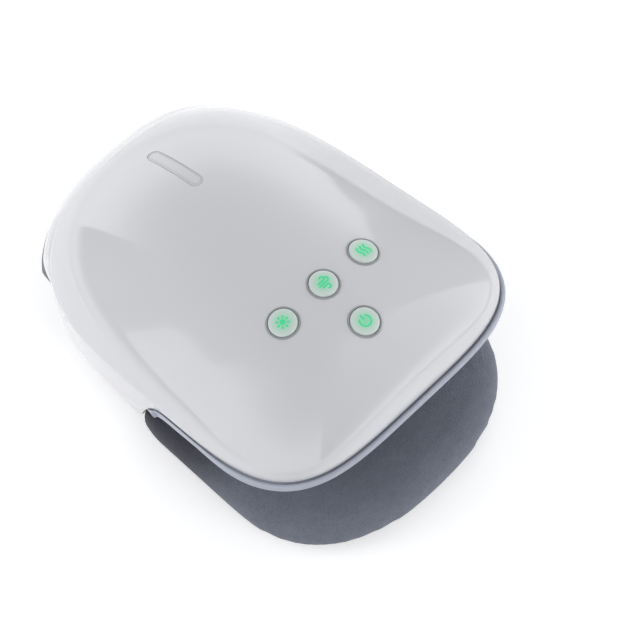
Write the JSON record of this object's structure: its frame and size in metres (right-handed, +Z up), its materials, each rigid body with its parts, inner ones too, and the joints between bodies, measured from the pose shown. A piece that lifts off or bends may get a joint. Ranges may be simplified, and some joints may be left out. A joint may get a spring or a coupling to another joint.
{
  "type": "cordless hand massager",
  "caption": "Cordless air compression hand massager with a domed gloss cover, a padded hand cavity, sprung buttons, inner air pump, heating film and vibration motors.",
  "frame": {"origin": "on the table, under the middle of the body's bounding box", "axes": "+Y from the wrist opening towards the fingertips, +Z up out of the domed cover, +X across the hand"},
  "size_m": [0.1766, 0.232, 0.1002],
  "materials": {
    "cover_white": "glossy",
    "trim_grey": "satin",
    "badge_grey": "satin",
    "button_mint": "satin",
    "ring_dark": "satin",
    "fabric_grey": "matte",
    "frame_dark": "matte",
    "motor_black": "satin",
    "board_green": "satin",
    "steel": "satin",
    "weight_brass": "satin",
    "rubber_black": "matte",
    "bag_film": "satin",
    "hose_clear": "satin",
    "film_copper": "satin",
    "cell_blue": "satin"
  },
  "bodies": {
    "housing": {"badge_plate": "badge_grey", "base_plate": "frame_dark", "base_screw_1": "steel", "base_screw_2": "steel", "base_screw_3": "steel", "base_screw_4": "steel", "battery_cell_back": "cell_blue", "battery_cell_front": "cell_blue", "battery_tray": "frame_dark", "bezel_air": "ring_dark", "bezel_heat": "ring_dark", "bezel_power": "ring_dark", "bezel_vibration": "ring_dark", "button_board": "board_green", "charging_socket": "steel", "cover_screw_1": "steel", "cover_screw_2": "steel", "cover_screw_3": "steel", "cover_screw_4": "steel", "finger_airbag": "bag_film", "finger_trim": "trim_grey", "heating_film": "film_copper", "hose_left": "hose_clear", "hose_right": "hose_clear", "inner_frame": "frame_dark", "leg_left": "frame_dark", "leg_right": "frame_dark", "lower_airbag": "bag_film", "lower_pad": "fabric_grey", "main_board": "board_green", "palm_airbag": "bag_film", "port_board": "board_green", "pump_head": "motor_black", "pump_head_cradle": "rubber_black", "pump_motor": "steel", "pump_motor_cradle": "rubber_black", "rubber_foot_1": "rubber_black", "rubber_foot_2": "rubber_black", "rubber_foot_3": "rubber_black", "rubber_foot_4": "rubber_black", "side_liner_left": "fabric_grey", "side_liner_right": "fabric_grey", "top_cover": "cover_white", "trim_band": "trim_grey", "upper_liner": "fabric_grey", "valve_left": "motor_black", "valve_right": "motor_black", "vibration_clip_left": "frame_dark", "vibration_clip_right": "frame_dark", "vibration_motor_left": "steel", "vibration_motor_right": "steel"},
    "heat_key": {"button_heat": "button_mint"},
    "air_key": {"button_air": "button_mint"},
    "vibration_key": {"button_vibration": "button_mint"},
    "power_key": {"button_power": "button_mint"},
    "crankshaft": {"pump_crank": "steel"},
    "left_plunger": {"plunger_left": "steel"},
    "right_plunger": {"plunger_right": "steel"},
    "left_weight": {"vibration_weight_left": "weight_brass"},
    "right_weight": {"vibration_weight_right": "weight_brass"}
  },
  "joints": [
    {"name": "heat_press", "type": "slide", "parent": "housing", "child": "heat_key", "axis": [-0.2042, 0.0125, -0.9788], "range_m": [0, 0.0007], "stiffness_N_per_m": 1500},
    {"name": "air_press", "type": "slide", "parent": "housing", "child": "air_key", "axis": [0, 0.0339, -0.9994], "range_m": [0, 0.0007], "stiffness_N_per_m": 1500},
    {"name": "vibration_press", "type": "slide", "parent": "housing", "child": "vibration_key", "axis": [0.2042, 0.0125, -0.9788], "range_m": [0, 0.0007], "stiffness_N_per_m": 1500},
    {"name": "power_press", "type": "slide", "parent": "housing", "child": "power_key", "axis": [0, 0.1966, -0.9805], "range_m": [0, 0.0007], "stiffness_N_per_m": 1500},
    {"name": "crank_turn", "type": "hinge", "parent": "housing", "child": "crankshaft", "pos_m": [0.003, 0.002, 0.07976], "axis": [1, 0, 0], "continuous": true},
    {"name": "left_plunger_stroke", "type": "slide", "parent": "housing", "child": "left_plunger", "axis": [0, -1, 0], "range_m": [0, 0.0012], "stiffness_N_per_m": 400},
    {"name": "right_plunger_stroke", "type": "slide", "parent": "housing", "child": "right_plunger", "axis": [0, -1, 0], "range_m": [0, 0.0012], "stiffness_N_per_m": 400},
    {"name": "left_weight_turn", "type": "hinge", "parent": "housing", "child": "left_weight", "pos_m": [-0.0413, 0.071, 0.0718], "axis": [-1, 0, 0], "continuous": true},
    {"name": "right_weight_turn", "type": "hinge", "parent": "housing", "child": "right_weight", "pos_m": [0.0413, 0.071, 0.0718], "axis": [1, 0, 0], "continuous": true}
  ]
}
